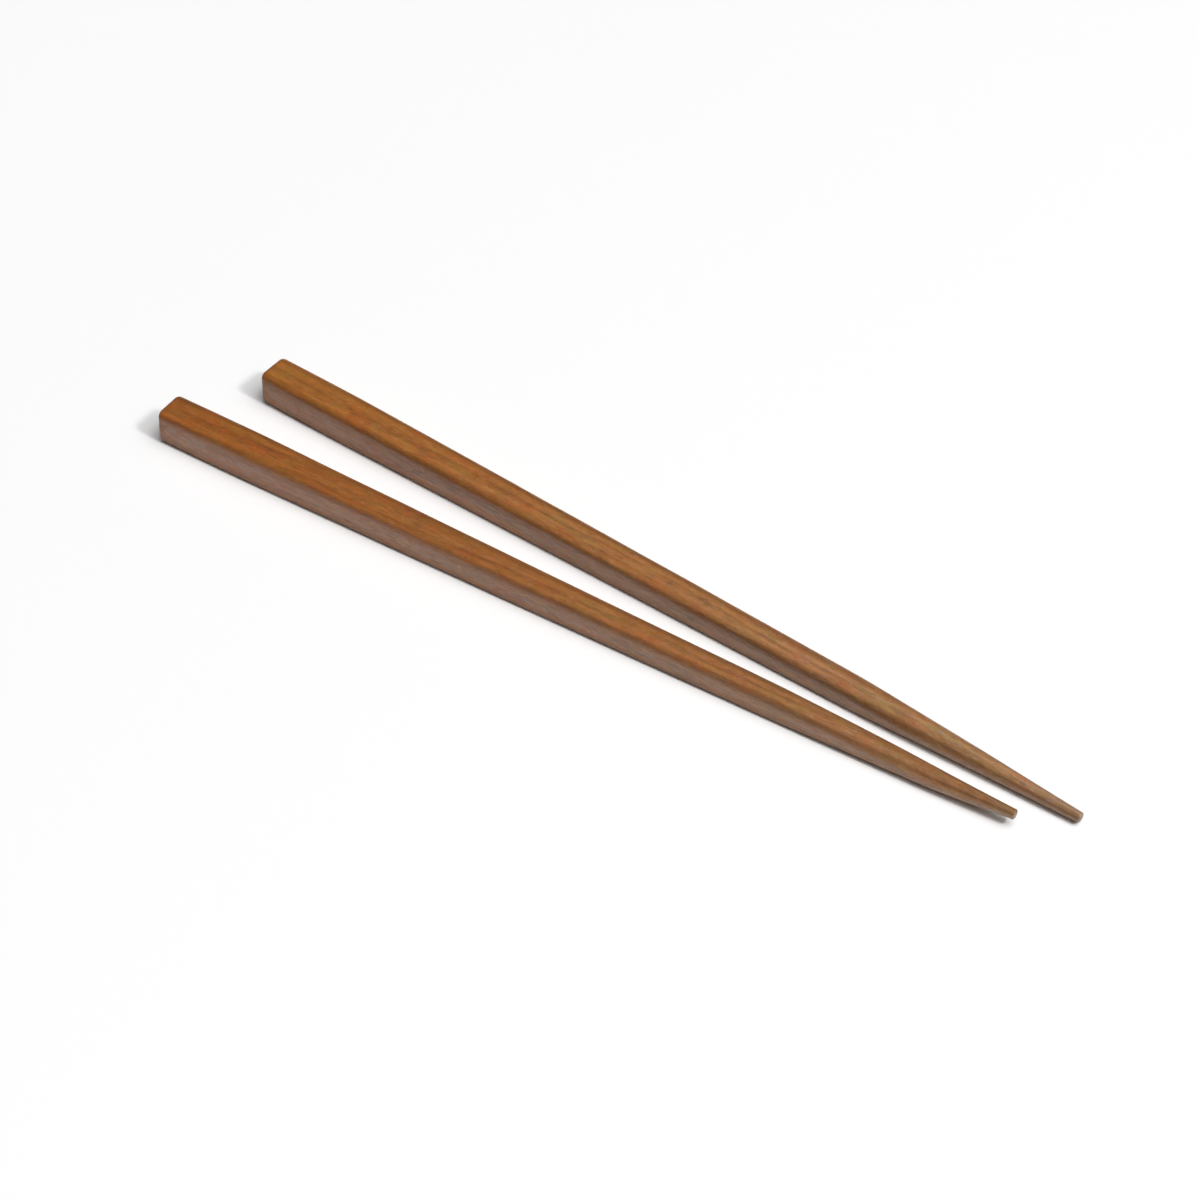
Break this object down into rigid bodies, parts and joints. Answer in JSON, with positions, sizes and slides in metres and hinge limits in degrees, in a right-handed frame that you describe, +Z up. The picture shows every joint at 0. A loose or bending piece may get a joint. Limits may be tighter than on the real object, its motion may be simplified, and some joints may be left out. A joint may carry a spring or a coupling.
{
  "type": "pair of chopsticks",
  "caption": "Wooden chopsticks with square tapering bodies, softened edges and round turned tips, lying side by side with the tips closer; used to pick up food.",
  "frame": {"origin": "on the surface the sticks lie on, under the middle of the pair's outline", "axes": "+X from the heads to the tips along the pair, +Y from the front stick to the back stick, +Z up"},
  "size_m": [0.2361, 0.0336, 0.0092],
  "materials": {
    "wood": "brown hardwood with a thin satin lacquer"
  },
  "bodies": {
    "root": {"front_chopstick": "wood", "back_chopstick": "wood"}
  },
  "joints": []
}
